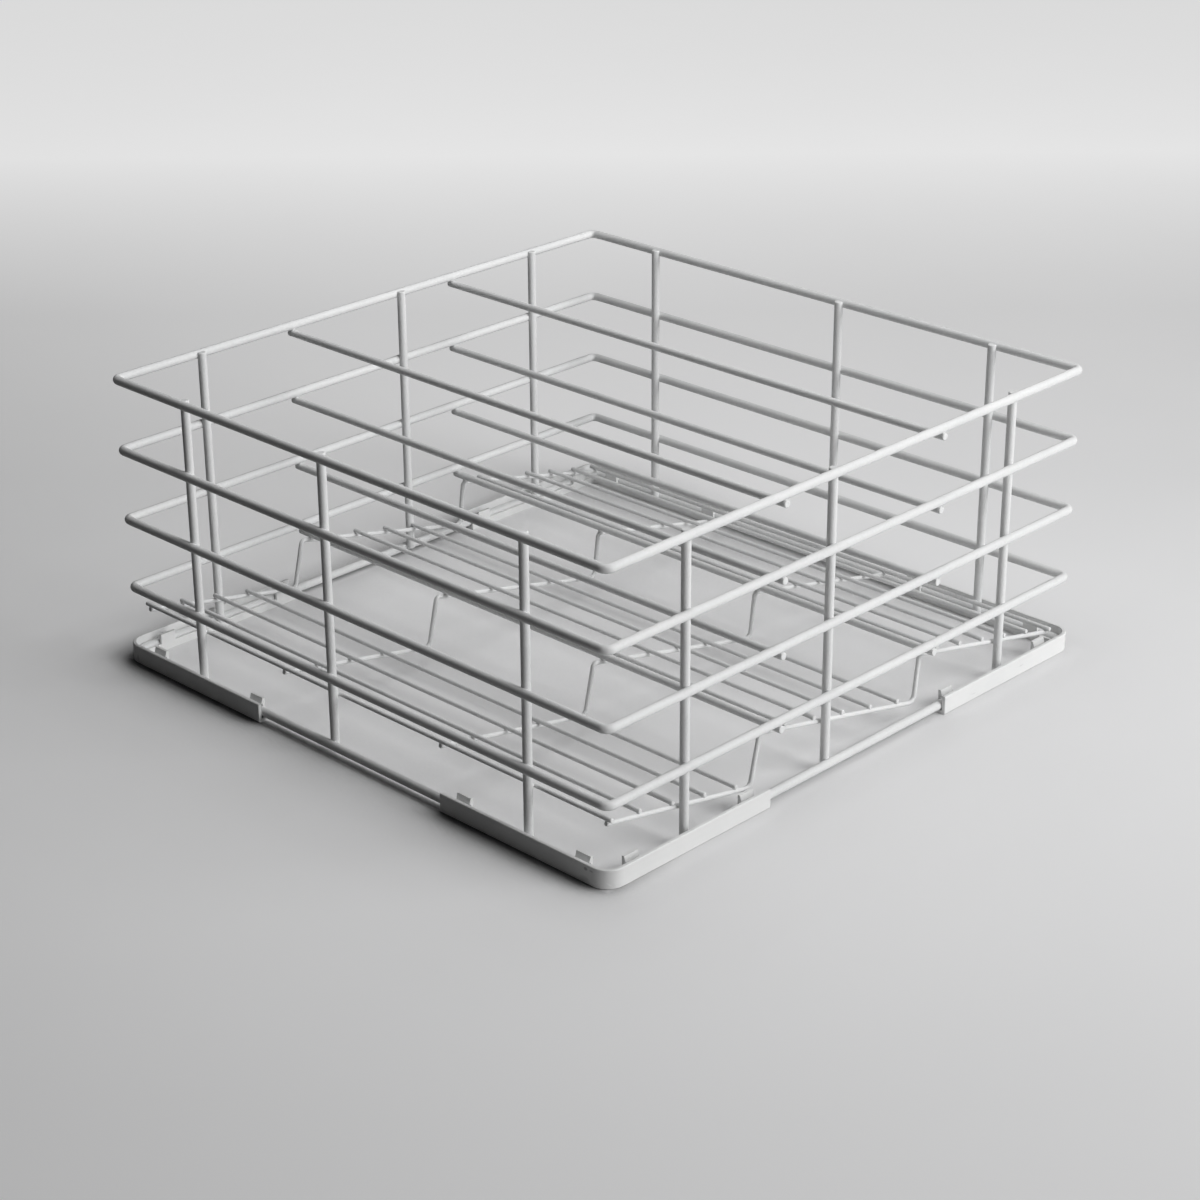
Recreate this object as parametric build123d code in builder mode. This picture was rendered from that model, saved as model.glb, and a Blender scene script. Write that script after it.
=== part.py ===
"""Square dishwasher basket of coated wire with three sloped rows and four corner guards."""

import math
import os

from build123d import *

# Frame of the basket, sizes in millimetres over the plastic coating
basket_width = 494.4  # over the rings, left to right along X
basket_depth = 494.4  # over the rings, front to back along Y
frame_wire = 6.5  # diameter of the rings and the uprights
ring_bend = 5.0  # bend radius of a wall ring's corner, to the middle of the wire
base_bend = 8.0  # bend radius of the base ring's corner, which the guards follow
first_ring_rise = 52.0  # from the base ring up to the lowest wall ring
ring_pitch = 54.0  # from one wall ring to the next
ring_count = 4  # wall rings above the base ring
weld_gap = 0.05  # space left between two wires where they are welded
weld_sink = 2.4  # depth that an upright is pressed into the rings by its welds
end_rounding = 0.8  # rounding of the coating on a cut wire end

# Uprights, three to a side
upright_inset = 78.6  # from the outer corner of the rings to the nearest upright
front_shift = 23.3  # from the middle of the front or the back to its middle upright
side_shift = 26.7  # from the middle of the left or the right side to its middle upright
upright_top_drop = 1.0  # top end below the crest of the top ring
upright_foot_drop = 0.5  # bottom end below the middle of the base ring

# Dividers, two fences from side to side
divider_wire = 5.5  # diameter
front_divider_y = -80.0  # place of the front fence
rear_divider_y = 84.0  # place of the rear fence
divider_inset = 0.7  # end short of the outer side of the rings

# Sloped shelf
shelf_wire = 3.4  # diameter of the profile wires and the rods
inner_profile_x = 81.0  # from the middle out to the two inner profile wires
crest_bend = 3.0  # radius of a profile wire's high bends, to its middle
valley_bend = 5.0  # radius of a profile wire's low bends, to its middle
profile_overhang = 1.4  # front end of a profile wire past its edge rod
valley_height = 11.4  # middle of a profile wire above the floor at the low bends
front_height = 39.4  # middle of a profile wire above the floor at its front end
back_height = 12.0  # middle of a profile wire above the floor at its back end
front_valley_lead = 18.3  # low bend in front of the front fence
rear_valley_lead = 7.1  # low bend in front of the rear fence
front_crest_lead = 9.4  # high bend in front of the front fence
rear_crest_lead = 2.4  # high bend in front of the rear fence
edge_overhang = 3.0  # end of an edge rod past the outer profile wires
front_row_rods = 4  # rods in the front row
front_row_start = 28.8  # first rod of the front row behind the front edge rod
front_row_end = 15.3  # last rod of the front row in front of the low bend
middle_row_rods = 5  # rods in the middle row
middle_row_start = 15.3  # first rod of the middle row behind the front fence
middle_row_end = 19.6  # last rod of the middle row in front of the low bend
back_row_rods = 5  # rods in the back row
back_row_start = 16.0  # first rod of the back row behind the rear fence
back_row_end = 25.6  # last rod of the back row in front of the back edge rod

# Corner guards
guard_wall = 2.5  # thickness of the outer wall
guard_height = 14.0  # height of the outer wall
guard_floor = 2.4  # thickness under the base ring
guard_lip = 2.0  # thickness of the inner lip and of the clip tabs
lip_height = 6.0  # height of the inner lip
leg_length = 155.6  # from the outer corner to the open end of a leg
guard_rounding = 0.8  # rounding of the outer edges
wire_clearance = 0.3  # space around the base ring's wire in the channel
seat_clearance = 0.1  # space under the base ring's wire in the channel
foot_clearance = 0.4  # space around an upright's foot in the lip
tab_width = 12.8  # clip tab, along the leg
tab_height = 13.6  # top of a clip tab above the floor
tab_hook = 1.3  # nose of a clip tab over the wire
corner_tab_place = 31.0  # from the outer corner to the first clip tab
end_tab_place = 13.6  # from the open end of a leg to the second clip tab

# Rings
frame_radius = frame_wire / 2
ring_half_x = basket_width / 2 - frame_radius
ring_half_y = basket_depth / 2 - frame_radius
base_height = guard_floor + seat_clearance + frame_radius
ring_heights = [base_height + first_ring_rise + ring_pitch * level for level in range(ring_count)]

# Uprights, standing inside the rings and pressed into them
upright_x = ring_half_x - frame_wire + weld_sink
upright_y = ring_half_y - frame_wire + weld_sink
upright_spread_x = basket_width / 2 - upright_inset
upright_spread_y = basket_depth / 2 - upright_inset
upright_foot = base_height - upright_foot_drop
upright_top = ring_heights[-1] + frame_radius - upright_top_drop

# Dividers, hanging under the rings
divider_drop = frame_radius + divider_wire / 2 + weld_gap
divider_heights = [height - divider_drop for height in ring_heights]
divider_end = basket_width / 2 - divider_inset

# Shelf, standing inside the uprights and hanging under the lowest dividers
rod_stack = shelf_wire + weld_gap
divider_stack = divider_wire / 2 + shelf_wire / 2 + weld_gap
outer_profile_x = upright_x - frame_radius - weld_gap - shelf_wire / 2
edge_rod_y = upright_y - frame_radius - weld_gap - shelf_wire / 2
rod_end = outer_profile_x + shelf_wire / 2
edge_rod_end = rod_end + edge_overhang
front_end_y = -edge_rod_y - profile_overhang
back_end_y = edge_rod_y + shelf_wire / 2
front_valley_y = front_divider_y - front_valley_lead
rear_valley_y = rear_divider_y - rear_valley_lead
front_crest_y = front_divider_y - front_crest_lead
rear_crest_y = rear_divider_y - rear_crest_lead

# Guard outlines, from the base ring's wire outward and inward
channel_out = frame_radius + wire_clearance
lip_in = channel_out + guard_lip
guard_x = ring_half_x + channel_out + guard_wall
guard_y = ring_half_y + channel_out + guard_wall
wire_top = base_height + frame_radius
tab_nose = wire_top + wire_clearance


def slope_under(divider_y, low_y, low_height):
    """Angle of a straight wire that rises forward from a low point and just passes under a divider."""
    run = low_y - divider_y
    rise = divider_heights[0] - low_height
    return math.atan2(rise, run) - math.asin(divider_stack / math.hypot(run, rise))


# Slopes of the three rows, falling toward the back
front_slope = math.atan2(front_height - valley_height, front_valley_y - front_end_y)
middle_slope = slope_under(front_divider_y, rear_valley_y, valley_height)
back_slope = slope_under(rear_divider_y, back_end_y, back_height)
front_crest_height = valley_height + (rear_valley_y - front_crest_y) * math.tan(middle_slope)
rear_crest_height = back_height + (back_end_y - rear_crest_y) * math.tan(back_slope)


def rod_height(y, low_y, low_height, slope):
    """Height of a rod's middle where it lies on a sloped row."""
    return low_height + (low_y - y) * math.tan(slope) + rod_stack / math.cos(slope)


def row_places(first, last, count):
    """Evenly spread places of the rods of one row, from its high end to its low end."""
    pitch = (last - first) / (count - 1)
    return [first + pitch * number for number in range(count)]


def save(part, label):
    """Name one piece and write it to its own file."""
    part.label = label
    export_step(part, f"parts/{label}.step")


def make_ring(label, height, bend):
    """Closed square of bent wire."""
    corners = [
        (-ring_half_x, -ring_half_y),
        (ring_half_x, -ring_half_y),
        (ring_half_x, ring_half_y),
        (-ring_half_x, ring_half_y),
    ]
    with BuildPart() as ring:
        with BuildLine(Plane.XY.offset(height)) as path:
            FilletPolyline(*corners, radius=bend, close=True)
        with BuildSketch(Plane(origin=path.line @ 0, z_dir=path.line % 0)):
            Circle(frame_radius)
        sweep()
    save(ring.part, label)


def make_rod(label, start, direction, length, diameter):
    """Straight wire with rounded ends."""
    with BuildPart() as rod:
        with BuildSketch(Plane(origin=start, z_dir=direction)):
            Circle(diameter / 2)
        extrude(amount=length)
        fillet(rod.edges().filter_by(GeomType.CIRCLE), end_rounding)
    save(rod.part, label)


def make_upright(label, place, ring_place, ring_run):
    """Vertical wire with a seat for each ring that it is pressed into."""
    with BuildPart() as upright:
        with BuildSketch(Plane.XY.offset(upright_foot)):
            with Locations(place):
                Circle(frame_radius)
        extrude(amount=upright_top - upright_foot)
        fillet(upright.edges().filter_by(GeomType.CIRCLE), end_rounding)
        for height in (base_height, *ring_heights):
            with BuildSketch(Plane(origin=(*ring_place, height), z_dir=ring_run)):
                Circle(frame_radius + weld_gap)
            extrude(amount=frame_wire, both=True, mode=Mode.SUBTRACT)
    save(upright.part, label)


def make_cross_wire(label, y, height, half_length, diameter):
    """Straight wire from the left side to the right side."""
    make_rod(label, (-half_length, y, height), (1, 0, 0), 2 * half_length, diameter)


def make_profile(label, x):
    """Saw-tooth wire from front to back that carries the rods of the three rows."""
    bends = [
        (front_end_y, front_height),
        (front_valley_y, valley_height),
        (front_crest_y, front_crest_height),
        (rear_valley_y, valley_height),
        (rear_crest_y, rear_crest_height),
        (back_end_y, back_height),
    ]
    with BuildPart() as profile:
        with BuildLine(Plane.YZ.offset(x)) as path:
            FilletPolyline(*bends, radius=[valley_bend, crest_bend, valley_bend, crest_bend])
        with BuildSketch(Plane(origin=path.line @ 0, z_dir=path.line % 0)):
            Circle(shelf_wire / 2)
        sweep()
        fillet(profile.faces().filter_by(GeomType.PLANE).edges(), end_rounding)
    save(profile.part, label)


def guard_outline(grow):
    """Rounded square around the base ring, moved out from the middle of its wire."""
    RectangleRounded(2 * (ring_half_x + grow), 2 * (ring_half_y + grow), base_bend + grow)


def tab_section(out):
    """Section of one clip tab, with its nose over the wire."""
    inner = out - lip_in
    outer = out - channel_out
    Polygon(
        (inner, 0),
        (outer, 0),
        (outer, tab_nose),
        (outer + tab_hook, tab_nose),
        (outer, tab_height),
        (inner, tab_height),
        align=None,
    )


def make_guard(label, side_x, side_y):
    """Moulded corner channel with an outer wall, a floor, a low lip and four clip tabs."""
    corner_x = side_x * (guard_x - leg_length / 2)
    corner_y = side_y * (guard_y - leg_length / 2)
    with BuildPart() as guard:
        # Outer block with rounded edges
        with BuildSketch():
            guard_outline(channel_out + guard_wall)
        extrude(amount=guard_height)
        fillet(guard.edges().group_by(Axis.Z)[0], guard_rounding)
        fillet(guard.edges().group_by(Axis.Z)[-1], guard_rounding)
        # Channel for the wire
        with BuildSketch(Plane.XY.offset(guard_floor)):
            guard_outline(channel_out)
        extrude(amount=guard_height, mode=Mode.SUBTRACT)
        # Low lip on the inner side of the wire
        with BuildSketch():
            guard_outline(-channel_out)
        extrude(amount=lip_height)
        # Open middle
        with BuildSketch():
            guard_outline(-lip_in)
        extrude(amount=guard_height, mode=Mode.SUBTRACT)
        # One corner of the frame
        with BuildSketch():
            with Locations((corner_x, corner_y)):
                Rectangle(leg_length, leg_length)
        extrude(amount=guard_height, mode=Mode.INTERSECT)
        # Clip tabs on both legs
        for place in (corner_tab_place, leg_length - end_tab_place):
            tab_x = side_x * (guard_x - place)
            tab_y = side_y * (guard_y - place)
            with BuildSketch(Plane(origin=(tab_x, 0, 0), x_dir=(0, side_y, 0), z_dir=(side_y, 0, 0))):
                tab_section(ring_half_y)
            extrude(amount=tab_width / 2, both=True)
            with BuildSketch(Plane(origin=(0, tab_y, 0), x_dir=(side_x, 0, 0), z_dir=(0, -side_x, 0))):
                tab_section(ring_half_x)
            extrude(amount=tab_width / 2, both=True)
        # Notches for the feet of the uprights
        feet = [
            (side_x * upright_spread_x, side_y * upright_y),
            (side_x * upright_x, side_y * upright_spread_y),
        ]
        with BuildSketch(Plane.XY.offset(upright_foot - foot_clearance)):
            with Locations(*feet):
                Circle(frame_radius + foot_clearance)
        extrude(amount=guard_height, mode=Mode.SUBTRACT)
    save(guard.part, label)


os.makedirs("parts", exist_ok=True)

# Rings, from the floor up
make_ring("base_ring", base_height, base_bend)
for level, height in enumerate(ring_heights, 1):
    make_ring(f"wall_ring_{level}", height, ring_bend)

# Uprights, with the middle one of each side moved the same way round the basket
places_x = [-upright_spread_x, -front_shift, upright_spread_x]
places_y = [-upright_spread_y, -side_shift, upright_spread_y]
for number, (x, y) in enumerate(zip(places_x, places_y), 1):
    make_upright(f"upright_front_{number}", (x, -upright_y), (x, -ring_half_y), (1, 0, 0))
    make_upright(f"upright_right_{number}", (upright_x, y), (ring_half_x, y), (0, 1, 0))
    make_upright(f"upright_back_{number}", (-x, upright_y), (-x, ring_half_y), (1, 0, 0))
    make_upright(f"upright_left_{number}", (-upright_x, -y), (-ring_half_x, -y), (0, 1, 0))

# Dividers
for level, height in enumerate(divider_heights, 1):
    make_cross_wire(f"divider_front_{level}", front_divider_y, height, divider_end, divider_wire)
    make_cross_wire(f"divider_rear_{level}", rear_divider_y, height, divider_end, divider_wire)

# Shelf profile wires, from left to right
profile_places = (-outer_profile_x, -inner_profile_x, inner_profile_x, outer_profile_x)
for number, x in enumerate(profile_places, 1):
    make_profile(f"shelf_profile_{number}", x)

# Edge rods
front_edge_height = rod_height(-edge_rod_y, front_valley_y, valley_height, front_slope)
back_edge_height = rod_height(edge_rod_y, back_end_y, back_height, back_slope)
make_cross_wire("edge_rod_front", -edge_rod_y, front_edge_height, edge_rod_end, shelf_wire)
make_cross_wire("edge_rod_back", edge_rod_y, back_edge_height, edge_rod_end, shelf_wire)

# Shelf rods, lying on the slopes
front_row = row_places(front_row_start - edge_rod_y, front_valley_y - front_row_end, front_row_rods)
middle_row = row_places(front_divider_y + middle_row_start, rear_valley_y - middle_row_end, middle_row_rods)
back_row = row_places(rear_divider_y + back_row_start, edge_rod_y - back_row_end, back_row_rods)
for number, y in enumerate(front_row, 1):
    height = rod_height(y, front_valley_y, valley_height, front_slope)
    make_cross_wire(f"front_row_rod_{number}", y, height, rod_end, shelf_wire)
for number, y in enumerate(middle_row, 1):
    height = rod_height(y, rear_valley_y, valley_height, middle_slope)
    make_cross_wire(f"middle_row_rod_{number}", y, height, rod_end, shelf_wire)
for number, y in enumerate(back_row, 1):
    height = rod_height(y, back_end_y, back_height, back_slope)
    make_cross_wire(f"back_row_rod_{number}", y, height, rod_end, shelf_wire)

# Corner guards
make_guard("guard_front_left", -1, -1)
make_guard("guard_front_right", 1, -1)
make_guard("guard_back_left", -1, 1)
make_guard("guard_back_right", 1, 1)
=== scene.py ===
"""White coated wire dishwasher basket on a pale floor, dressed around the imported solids."""

import math

import bmesh
import bpy
from mathutils import Matrix, Vector


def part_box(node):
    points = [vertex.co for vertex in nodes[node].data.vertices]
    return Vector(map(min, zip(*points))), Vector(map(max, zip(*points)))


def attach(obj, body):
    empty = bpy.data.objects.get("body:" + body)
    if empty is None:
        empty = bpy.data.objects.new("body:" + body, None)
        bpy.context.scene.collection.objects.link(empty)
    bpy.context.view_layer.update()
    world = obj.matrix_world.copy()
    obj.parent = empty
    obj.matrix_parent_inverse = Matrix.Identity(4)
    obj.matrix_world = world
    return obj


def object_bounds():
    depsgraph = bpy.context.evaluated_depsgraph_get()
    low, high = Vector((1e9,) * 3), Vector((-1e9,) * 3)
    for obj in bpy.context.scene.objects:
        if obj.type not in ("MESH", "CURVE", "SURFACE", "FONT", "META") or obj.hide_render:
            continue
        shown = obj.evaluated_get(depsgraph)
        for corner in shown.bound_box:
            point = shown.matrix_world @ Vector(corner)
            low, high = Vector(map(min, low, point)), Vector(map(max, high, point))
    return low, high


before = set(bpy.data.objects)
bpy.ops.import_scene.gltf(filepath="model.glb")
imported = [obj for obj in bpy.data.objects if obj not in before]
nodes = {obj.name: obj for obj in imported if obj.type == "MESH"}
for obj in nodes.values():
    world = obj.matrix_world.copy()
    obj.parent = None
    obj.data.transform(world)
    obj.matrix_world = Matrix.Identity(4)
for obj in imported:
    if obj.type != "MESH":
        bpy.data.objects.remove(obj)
cad_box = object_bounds()
scene = bpy.context.scene

X, Y, Z = Vector((1, 0, 0)), Vector((0, 1, 0)), Vector((0, 0, 1))
white = (1.0, 1.0, 1.0)

# Places of the colour sockets on a Mix node
mix_factor, mix_first, mix_second, mix_result = 0, 6, 7, 2

# Range that holds most of a noise's values
noise_low, noise_high = 0.3, 0.7


# Material helpers


def new_material(name):
    """Empty node material with its shader, its output and the object's own coordinates."""
    material = bpy.data.materials.new(name)
    material.use_nodes = True
    tree = material.node_tree
    tree.nodes.clear()
    shader = tree.nodes.new("ShaderNodeBsdfPrincipled")
    output = tree.nodes.new("ShaderNodeOutputMaterial")
    tree.links.new(shader.outputs["BSDF"], output.inputs["Surface"])
    coords = tree.nodes.new("ShaderNodeTexCoord")
    return material, tree, shader, coords.outputs["Object"]


def feed(tree, socket, value):
    """Set a socket to a plain value, or link it to another socket."""
    if isinstance(value, (float, tuple)):
        socket.default_value = value
    else:
        tree.links.new(value, socket)


def noise(tree, coords, scale, detail=3.0, rough=0.55, stretch=None):
    """Noise from the object's coordinates, stretched along an axis where asked."""
    if stretch is not None:
        mapping = tree.nodes.new("ShaderNodeMapping")
        mapping.inputs["Scale"].default_value = stretch
        tree.links.new(coords, mapping.inputs["Vector"])
        coords = mapping.outputs["Vector"]
    node = tree.nodes.new("ShaderNodeTexNoise")
    node.inputs["Scale"].default_value = scale
    node.inputs["Detail"].default_value = detail
    node.inputs["Roughness"].default_value = rough
    tree.links.new(coords, node.inputs["Vector"])
    return node.outputs["Fac"]


def ramp(tree, value, stops):
    """Colour ramp through a list of places and colours."""
    node = tree.nodes.new("ShaderNodeValToRGB")
    elements = node.color_ramp.elements
    while len(elements) < len(stops):
        elements.new(0.5)
    for element, (place, colour) in zip(elements, stops):
        element.position = place
        element.color = (*colour, 1.0)
    tree.links.new(value, node.inputs["Fac"])
    return node.outputs["Color"]


def grey(level):
    """Colour without a hue."""
    return (level, level, level)


def greys(*stops):
    """Stops of a colour ramp, from pairs of a place and a grey level."""
    return [(place, grey(level)) for place, level in stops]


def spread(tree, value, low, high):
    """The middle part of a noise's values laid over a range."""
    node = tree.nodes.new("ShaderNodeMapRange")
    node.inputs["From Min"].default_value = noise_low
    node.inputs["From Max"].default_value = noise_high
    node.inputs["To Min"].default_value = low
    node.inputs["To Max"].default_value = high
    tree.links.new(value, node.inputs["Value"])
    return node.outputs["Result"]


def smooth_step(tree, value, start, end):
    """Soft change from nought at the start to one at the end."""
    node = tree.nodes.new("ShaderNodeMapRange")
    node.interpolation_type = "SMOOTHSTEP"
    node.inputs["From Min"].default_value = start
    node.inputs["From Max"].default_value = end
    tree.links.new(value, node.inputs["Value"])
    return node.outputs["Result"]


def mix(tree, factor, first, second, kind="MIX"):
    """Two colours mixed by a factor."""
    node = tree.nodes.new("ShaderNodeMix")
    node.data_type = "RGBA"
    node.blend_type = kind
    tree.links.new(factor, node.inputs[mix_factor])
    for place, colour in ((mix_first, first), (mix_second, second)):
        feed(tree, node.inputs[place], (*colour, 1.0) if isinstance(colour, tuple) else colour)
    return node.outputs[mix_result]


def bump(tree, height, strength, distance, under=None):
    """Bump from a height, on top of another bump where given."""
    node = tree.nodes.new("ShaderNodeBump")
    node.inputs["Strength"].default_value = strength
    node.inputs["Distance"].default_value = distance
    tree.links.new(height, node.inputs["Height"])
    if under is not None:
        tree.links.new(under, node.inputs["Normal"])
    return node.outputs["Normal"]


def reckon(tree, kind, *values):
    """Chain of one kind of math step over sockets and numbers."""
    total = values[0]
    for value in values[1:]:
        node = tree.nodes.new("ShaderNodeMath")
        node.operation = kind
        for socket, part in zip(node.inputs, (total, value)):
            feed(tree, socket, part)
        total = node.outputs["Value"]
    return total


def vector_step(tree, kind, *parts):
    """One step of vector math over sockets and plain vectors."""
    node = tree.nodes.new("ShaderNodeVectorMath")
    node.operation = kind
    for socket, part in zip(node.inputs, parts):
        feed(tree, socket, part)
    return node.outputs["Value" if kind in ("DOT_PRODUCT", "LENGTH") else "Vector"]


def mark(tree, coords, place, run, width, length):
    """Soft ragged oval around a place, one in its middle and nought outside: long along its run."""
    offset = vector_step(tree, "SUBTRACT", coords, place)
    along = vector_step(tree, "DOT_PRODUCT", offset, run)
    square = vector_step(tree, "DOT_PRODUCT", offset, offset)
    round_part = reckon(tree, "MULTIPLY", square, width**-2)
    long_part = reckon(tree, "MULTIPLY", along, along, length**-2 - width**-2)
    ragged = reckon(tree, "MULTIPLY", noise(tree, coords, scale=900.0), 0.8)
    return smooth_step(tree, reckon(tree, "ADD", round_part, long_part, ragged), start=1.3, end=0.4)


# Finishes


def coating_material():
    """Satin white plastic coating: cloudy white, an uneven skin and a soft gloss."""
    material, tree, shader, coords = new_material("wire_coating")
    cloud = noise(tree, coords, scale=14.0, detail=2.0)
    speck = noise(tree, coords, scale=520.0, detail=4.0, rough=0.6)
    base = ramp(tree, cloud, [(0.25, (0.735, 0.742, 0.745)), (0.75, (0.800, 0.803, 0.802))])
    tint = ramp(tree, speck, [(0.30, (0.93, 0.93, 0.925)), (0.55, white)])
    patches = spread(tree, noise(tree, coords, scale=60.0), low=0.35, high=0.9)
    tree.links.new(mix(tree, patches, base, tint, "MULTIPLY"), shader.inputs["Base Color"])
    gloss = spread(tree, noise(tree, coords, scale=95.0, detail=4.0), low=0.52, high=0.68)
    tree.links.new(gloss, shader.inputs["Roughness"])
    skin = bump(tree, noise(tree, coords, scale=330.0, detail=2.0), strength=0.18, distance=0.0006)
    skin = bump(tree, speck, strength=0.10, distance=0.0002, under=skin)
    tree.links.new(skin, shader.inputs["Normal"])
    shader.inputs["Specular IOR Level"].default_value = 0.32
    return material


# Rub marks on the two front guards: place, run, width, length, strength and shade
guard_marks = (
    ((0.2303, -0.25, 0.0108), (1.0, 0.0, 0.0), 0.0016, 0.0022, 0.60, 0.20),
    ((0.2352, -0.25, 0.0109), (1.0, 0.0, 0.0), 0.0009, 0.0022, 0.45, 0.25),
    ((0.2290, -0.25, 0.0032), (1.0, 0.0, 0.0), 0.0030, 0.0060, 0.25, 0.30),
    ((-0.2352, -0.25, 0.0042), (0.0, 0.0, 1.0), 0.0020, 0.0040, 0.30, 0.25),
    ((0.2464, -0.2452, 0.0036), (0.58, 0.58, -0.57), 0.0006, 0.0032, 0.70, 0.95),
)


def guard_material():
    """Moulded white plastic with a fine grain and faint rub marks."""
    material, tree, shader, coords = new_material("guard_plastic")
    cloud = noise(tree, coords, scale=22.0)
    base = ramp(tree, cloud, [(0.25, (0.775, 0.780, 0.777)), (0.75, (0.835, 0.837, 0.833))])
    rub = noise(tree, coords, scale=210.0, detail=5.0, rough=0.65, stretch=(0.25, 0.25, 1.6))
    streaks = ramp(tree, rub, greys((0.66, 0.0), (0.74, 0.4)))
    colour = mix(tree, streaks, base, (0.42, 0.42, 0.41))
    for place, run, width, length, strength, shade in guard_marks:
        oval = mark(tree, coords, place, run, width, length)
        colour = mix(tree, reckon(tree, "MULTIPLY", oval, strength), colour, grey(shade))
    tree.links.new(colour, shader.inputs["Base Color"])
    gloss = spread(tree, noise(tree, coords, scale=120.0, detail=4.0), low=0.50, high=0.66)
    tree.links.new(gloss, shader.inputs["Roughness"])
    grain = bump(tree, noise(tree, coords, scale=1900.0, detail=2.0), strength=0.12, distance=0.0002)
    grain = bump(tree, rub, strength=0.08, distance=0.0002, under=grain)
    tree.links.new(grain, shader.inputs["Normal"])
    return material


coating = coating_material()
plastic = guard_material()
for name, node in nodes.items():
    node.data.materials.clear()
    node.data.materials.append(plastic if name.startswith("guard_") else coating)
    for face in node.data.polygons:
        face.use_smooth = True


# Sizes read from the solids, and the coating webs in the corners of the welds


def middle_of(name):
    """Middle of a node's box."""
    low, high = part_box(name)
    return (low + high) / 2


def height_of(name):
    """Height of a node's box."""
    low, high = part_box(name)
    return high.z - low.z


def named(start):
    """Names of the nodes that begin with a word, in order."""
    return sorted(name for name in nodes if name.startswith(start))


frame_r = height_of("wall_ring_1") / 2
divider_r = height_of("divider_front_1") / 2
shelf_r = height_of("edge_rod_front") / 2
ring_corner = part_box("wall_ring_1")[1]
ring_half_x = ring_corner.x - frame_r
ring_half_y = ring_corner.y - frame_r
weld_gap = 0.00005  # space between two welded wires
end_round = 0.0009  # rounded stretch of a wire's end
upright_fill = 0.0010  # web between an upright and a ring at its open edge
divider_fill = 0.0012  # web between a divider and a ring
rod_fill = 0.0008  # web between a profile wire and what lies on it
edge_fill = 0.0015  # web between the shelf and an upright
collar_steps = 24  # points around a web's collar
collar_rows = 6  # faces from one wire to the other
widest_share = 0.995  # most of a wire's radius that a collar goes around
halvings = 40  # steps of the search for a collar's edge
tuck = 0.00004  # depth of a collar's edges under the wires' skins
tiny = 1e-6  # keeps divisions away from nought
no_end = (-1.0, 1.0)  # span along a wire that doesn't end near the crossing


def sag(radius, across, reach):
    """How far a round wire's skin falls away at a reach from the crossing, and how steeply."""
    side = reach * across
    height = math.sqrt(max(radius**2 - side**2, tiny**2))
    return radius - height, side * across / height


def collar_reach(radii, across, apart, fill):
    """Reach at which the space between two crossing wires has grown to the fill."""
    low, high = 0.0, widest_share * min(r / max(a, tiny) for r, a in zip(radii, across))
    for _ in range(halvings):
        reach = (low + high) / 2
        space = apart - sum(radii) + sum(sag(r, a, reach)[0] for r, a in zip(radii, across))
        if space < fill:
            low = reach
        else:
            high = reach
    return reach


def bead(mesh, middle, runs, normal, radii, apart, fill, span=no_end):
    """Smooth collar where two round wires cross: normal points from the first wire's axis to the second's.

    The span is how far the collar may go along the first wire, for a wire that ends near the crossing.
    """
    tangent = normal.cross(runs[0])
    loops = [[] for _ in range(collar_rows + 1)]
    for step in range(collar_steps):
        angle = 2 * math.pi * step / collar_steps
        out = math.cos(angle) * runs[0] + math.sin(angle) * tangent
        across = [(out - out.dot(run) * run).length for run in runs]
        reach = collar_reach(radii, across, apart, fill)
        along = out.dot(runs[0])
        if not span[0] <= along * reach <= span[1]:
            reach = (span[1] if along > 0 else span[0]) / along
        (drop_a, slope_a), (drop_b, slope_b) = [sag(r, a, reach) for r, a in zip(radii, across)]
        rim = middle + reach * out
        bottom = rim + (radii[0] - drop_a) * normal
        top = rim + (apart - radii[1] + drop_b) * normal
        inward = max((top - bottom).dot(normal), 0.0) / (slope_a + slope_b)
        inner = bottom - inward * out + inward * slope_a * normal
        bottom = bottom - tuck * (normal + out)
        top = top + tuck * (normal - out)
        for row, loop in enumerate(loops):
            t = row / collar_rows
            loop.append(mesh.verts.new((1 - t) ** 2 * bottom + 2 * t * (1 - t) * inner + t**2 * top))
    for lower, upper in zip(loops, loops[1:]):
        for step in range(collar_steps):
            after = (step + 1) % collar_steps
            mesh.faces.new((lower[step], lower[after], upper[after], upper[step]))
    foot = mesh.verts.new(middle + radii[0] / 2 * normal)
    head = mesh.verts.new(middle + (apart - radii[1] / 2) * normal)
    for step in range(collar_steps):
        after = (step + 1) % collar_steps
        mesh.faces.new((foot, loops[0][after], loops[0][step]))
        mesh.faces.new((head, loops[-1][step], loops[-1][after]))


def new_piece(name, mesh, material):
    """Object made from a mesh, riding on the basket."""
    bmesh.ops.recalc_face_normals(mesh, faces=mesh.faces)
    data = bpy.data.meshes.new(name)
    mesh.to_mesh(data)
    mesh.free()
    for face in data.polygons:
        face.use_smooth = True
    data.materials.append(material)
    piece = bpy.data.objects.new(name, data)
    scene.collection.objects.link(piece)
    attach(piece, "root")


def weld_uprights():
    """Beads between the uprights and the rings."""
    mesh = bmesh.new()
    walls = {
        "front": (-Y, X, ring_half_y),
        "back": (Y, X, ring_half_y),
        "left": (-X, Y, ring_half_x),
        "right": (X, Y, ring_half_x),
    }
    for side, (out, run, half) in walls.items():
        for name in named(f"upright_{side}_"):
            low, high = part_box(name)
            axis = (low + high) / 2
            inner = min(abs(low.dot(out)), abs(high.dot(out)))
            axis = axis - axis.dot(out) * out + (inner + frame_r) * out
            apart = half - inner - frame_r
            for ring in named("wall_ring_"):
                middle = Vector((axis.x, axis.y, middle_of(ring).z))
                span = (-frame_r, high.z - end_round - middle.z)
                bead(mesh, middle, (Z, run), out, (frame_r, frame_r), apart, upright_fill, span)
    new_piece("weld_beads_uprights", mesh, coating)


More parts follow.
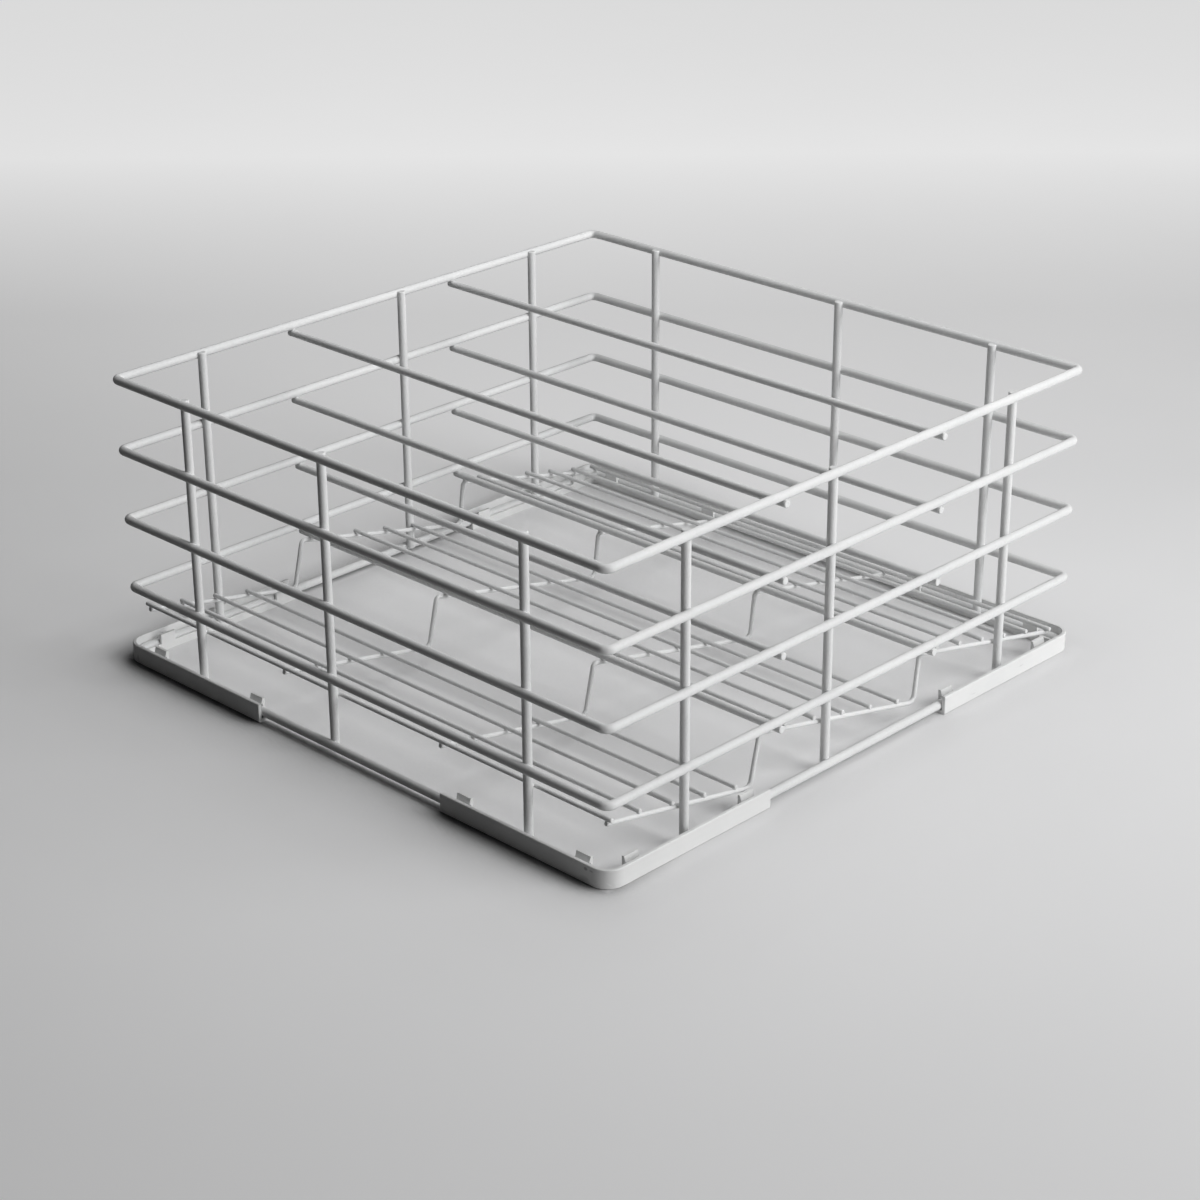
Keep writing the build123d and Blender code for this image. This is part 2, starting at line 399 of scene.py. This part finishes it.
def weld_dividers():
    """Beads between the dividers and the rings above them, up to the dividers' ends."""
    mesh = bmesh.new()
    for fence in ("front", "rear"):
        for level, name in enumerate(named(f"divider_{fence}_"), 1):
            axis = middle_of(name)
            apart = middle_of(f"wall_ring_{level}").z - axis.z
            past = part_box(name)[1].x - end_round - ring_half_x
            for side, span in ((-1, (-past, no_end[1])), (1, (no_end[0], past))):
                middle = Vector((side * ring_half_x, axis.y, axis.z))
                bead(mesh, middle, (X, Y), Z, (divider_r, frame_r), apart, divider_fill, span)
    new_piece("weld_beads_dividers", mesh, coating)


def shelf_rows():
    """Sloped rows: their rods, the first rod's middle, the way down the slope and the way out of it."""
    rows = {
        "front": ["edge_rod_front", *named("front_row_rod_")],
        "middle": named("middle_row_rod_"),
        "back": [*named("back_row_rod_"), "edge_rod_back"],
    }
    slopes = {}
    for row, rods in rows.items():
        first, last = middle_of(rods[0]), middle_of(rods[-1])
        down = (last - first).normalized()
        slopes[row] = (rods, first, down, X.cross(down))
    return slopes


def meeting(wire, cross_wire):
    """Point on a cross wire's axis at another wire's place from left to right."""
    at = middle_of(cross_wire)
    return Vector((middle_of(wire).x, at.y, at.z))


def weld_shelf():
    """Beads between the shelf's profile wires and the rods, the lowest dividers and the uprights."""
    mesh = bmesh.new()
    profiles = named("shelf_profile_")
    slopes = shelf_rows()
    rod_stack = 2 * shelf_r + weld_gap
    for rods, _, down, out in slopes.values():
        for rod in rods:
            for profile in profiles:
                middle = meeting(profile, rod) - rod_stack * out
                bead(mesh, middle, (down, X), out, (shelf_r, shelf_r), rod_stack, rod_fill)

    # Under the lowest dividers
    stack = shelf_r + divider_r + weld_gap
    for row, divider in (("middle", "divider_front_1"), ("back", "divider_rear_1")):
        _, _, down, out = slopes[row]
        for profile in profiles:
            middle = meeting(profile, divider) - stack * out
            bead(mesh, middle, (down, X), out, (shelf_r, divider_r), stack, rod_fill)

    # Against the uprights
    stack = shelf_r + frame_r + weld_gap
    for side, rod, inward in (("front", "edge_rod_front", Y), ("back", "edge_rod_back", -Y)):
        for name in named(f"upright_{side}_"):
            middle = meeting(name, rod) - stack * inward
            bead(mesh, middle, (Z, X), inward, (frame_r, shelf_r), stack, edge_fill)
    fences = [middle_of(f"divider_{fence}_1").y for fence in ("front", "rear")]
    for side, profile, inward in (("left", profiles[0], X), ("right", profiles[-1], -X)):
        for name in named(f"upright_{side}_"):
            place = middle_of(name)
            row = ("front", "middle", "back")[sum(place.y > fence for fence in fences)]
            _, first, down, out = slopes[row]
            below = first - rod_stack * out
            height = below.z + (place.y - below.y) * down.z / down.y
            middle = Vector((middle_of(profile).x, place.y, height)) - stack * inward
            bead(mesh, middle, (Z, down), inward, (frame_r, shelf_r), stack, edge_fill)
    new_piece("weld_beads_shelf", mesh, coating)


weld_uprights()
weld_dividers()
weld_shelf()


# Floor

floor_reach = 30.0  # half of the floor's side, which runs out of sight
floor_drop = 0.0002  # space between the floor and the guards
basket_half = cad_box[1].x


def floor_material():
    """Pale floor: graded like a lit paper sweep to the eye by a painted glow, with a painted contact
    shadow; darker to light that bounces off it, with painted shade on the shaded side.
    """
    material, tree, shader, coords = new_material("floor")

    def place_along(run, start):
        """Place along a direction on the floor, counted from a start."""
        return reckon(tree, "ADD", vector_step(tree, "DOT_PRODUCT", coords, run), start)

    across = place_along((0.715, 0.699, 0.0), 0.5)
    depth = place_along((-0.35, 0.358, 0.0), 0.3)
    slant = place_along((1.0, 0.5, 0.0), 0.3)
    distance = vector_step(tree, "LENGTH", coords)
    far_off = reckon(tree, "ADD", reckon(tree, "MULTIPLY", distance, 0.5), -0.3)
    split = tree.nodes.new("ShaderNodeSeparateXYZ")
    tree.links.new(vector_step(tree, "ABSOLUTE", coords), split.inputs["Vector"])
    from_middle = reckon(tree, "MAXIMUM", split.outputs["X"], split.outputs["Y"])

    # How open the floor is to the air above it
    open_air = tree.nodes.new("ShaderNodeAmbientOcclusion")
    open_air.samples = 6
    open_air.inputs["Distance"].default_value = 0.06
    openness = open_air.outputs["AO"]

    # Rays that see the floor itself, not its light on other things
    path = tree.nodes.new("ShaderNodeLightPath")
    kinds = [path.outputs[kind] for kind in ("Is Camera Ray", "Is Glossy Ray", "Is Transmission Ray")]
    seen = reckon(tree, "MINIMUM", reckon(tree, "ADD", *kinds), 1.0)

    # Painted glow to the eye that grows to the back and far off, like a lit paper sweep, and fades out
    # beside what stands on the floor as a painted shadow, more widely on the shaded side
    shades = greys((0.0, 0.08), (0.2, 0.10), (0.475, 0.16), (0.7, 0.29), (1.0, 0.62))
    glow = ramp(tree, reckon(tree, "MAXIMUM", depth, far_off), shades)
    lit_side = ramp(tree, slant, greys((0.30, 0.0), (0.50, 1.0)))
    lit_fade = ramp(tree, openness, greys((0.60, 0.0), (0.97, 1.0)))
    shaded_fade = ramp(tree, openness, greys((0.84, 0.0), (0.99, 1.0)))
    fade = mix(tree, lit_side, shaded_fade, lit_fade)
    tree.links.new(reckon(tree, "MULTIPLY", glow, fade, seen), shader.inputs["Emission Strength"])

    # Painted contact shadow in the floor's colour to the eye: darkest close beside the shaded walls,
    # outside the basket
    painted_contact_shadow = ramp(tree, openness, greys((0.50, 0.05), (0.70, 0.45), (0.84, 1.0)))
    lit_wall = ramp(tree, slant, greys((0.40, 0.0), (0.46, 1.0)))
    painted_contact_shadow = mix(tree, lit_wall, painted_contact_shadow, white)
    outside = ramp(tree, from_middle, greys((basket_half - 0.004, 0.0), (basket_half - 0.001, 1.0)))
    painted_contact_shadow = mix(tree, outside, white, painted_contact_shadow)

    # Colour to the eye, and to the light that bounces under the basket and around it, with painted shade
    # and light in that bounce
    pale = ramp(tree, across, [(0.2, (0.80, 0.80, 0.805)), (0.8, (0.72, 0.72, 0.725))])
    # The painted contact shadow darkens the colour to the eye
    pale = mix(tree, seen, pale, painted_contact_shadow, "MULTIPLY")
    # Painted shade and light for bounced light: darker on the shaded side, paler on the lit side, a fixed
    # pale grey under the basket
    around = ramp(tree, slant, greys((0.30, 0.24), (0.72, 0.86)))
    under = smooth_step(tree, from_middle, start=basket_half + 0.02, end=basket_half - 0.02)
    bounce_painted_shading = mix(tree, under, around, grey(0.80))
    tree.links.new(mix(tree, seen, bounce_painted_shading, pale), shader.inputs["Base Color"])
    gloss = spread(tree, noise(tree, coords, scale=6.0), low=0.55, high=0.7)
    tree.links.new(gloss, shader.inputs["Roughness"])
    shader.inputs["Specular IOR Level"].default_value = 0.2
    return material


def make_floor():
    """Wide flat floor just under the guards."""
    mesh = bpy.data.meshes.new("floor")
    corners = [(x * floor_reach, y * floor_reach, 0) for x, y in ((-1, -1), (1, -1), (1, 1), (-1, 1))]
    mesh.from_pydata(corners, [], [(0, 1, 2, 3)])
    mesh.materials.append(floor_material())
    floor = bpy.data.objects.new("floor", mesh)
    scene.collection.objects.link(floor)
    floor.location.z = cad_box[0].z - floor_drop


make_floor()


# Light

lamp_target = Vector((0, 0, 0.08))


def toward(azimuth, elevation):
    """Direction given by its angles from the right side and from the floor."""
    turn, lift = math.radians(azimuth), math.radians(elevation)
    return Vector((math.cos(lift) * math.cos(turn), math.cos(lift) * math.sin(turn), math.sin(lift)))


def add_lamp(name, kind, azimuth, elevation, distance, energy):
    """Lamp aimed at the middle of the basket."""
    light = bpy.data.lights.new(name, kind)
    light.energy = energy
    lamp = bpy.data.objects.new(name, light)
    scene.collection.objects.link(lamp)
    away = toward(azimuth, elevation)
    lamp.location = lamp_target + distance * away
    lamp.rotation_euler = (-away).to_track_quat("-Z", "Y").to_euler()
    lamp.visible_camera = False
    return light


def add_soft_lamp(name, size, **aim):
    """Round area lamp."""
    light = add_lamp(name, "AREA", **aim)
    light.shape = "DISK"
    light.size = size


add_soft_lamp("key", size=1.2, azimuth=21.0, elevation=34.0, distance=1.8, energy=18.6)
add_soft_lamp("top", size=0.9, azimuth=90.0, elevation=81.0, distance=1.0, energy=4.4)
side_light = add_lamp("side", "SUN", azimuth=10.0, elevation=13.0, distance=4.0, energy=0.8)
side_light.angle = math.radians(26.0)

world = bpy.data.worlds.new("studio")
world.use_nodes = True
sky = world.node_tree.nodes["Background"]
sky.inputs["Color"].default_value = (0.75, 0.75, 0.76, 1.0)
sky.inputs["Strength"].default_value = 0.02
scene.world = world


# Camera at the photograph's place

camera_place = (1.28123, -1.31099, 0.87882)
yaw, pitch, roll = math.radians(44.339), math.radians(24.52), math.radians(-0.35)
back = Vector((math.sin(yaw) * math.cos(pitch), -math.cos(yaw) * math.cos(pitch), math.sin(pitch)))
level = Vector((math.cos(yaw), math.sin(yaw), 0.0))
rise = back.cross(level)
right = math.cos(roll) * level + math.sin(roll) * rise
up = -math.sin(roll) * level + math.cos(roll) * rise
turn = Matrix((right, up, back)).transposed()
lens = bpy.data.cameras.new("camera")
lens.sensor_width = 36.0
lens.lens = 81.54
camera = bpy.data.objects.new("camera", lens)
scene.collection.objects.link(camera)
camera.matrix_world = Matrix.Translation(camera_place) @ turn.to_4x4()
scene.camera = camera

scene.view_settings.view_transform = "Standard"
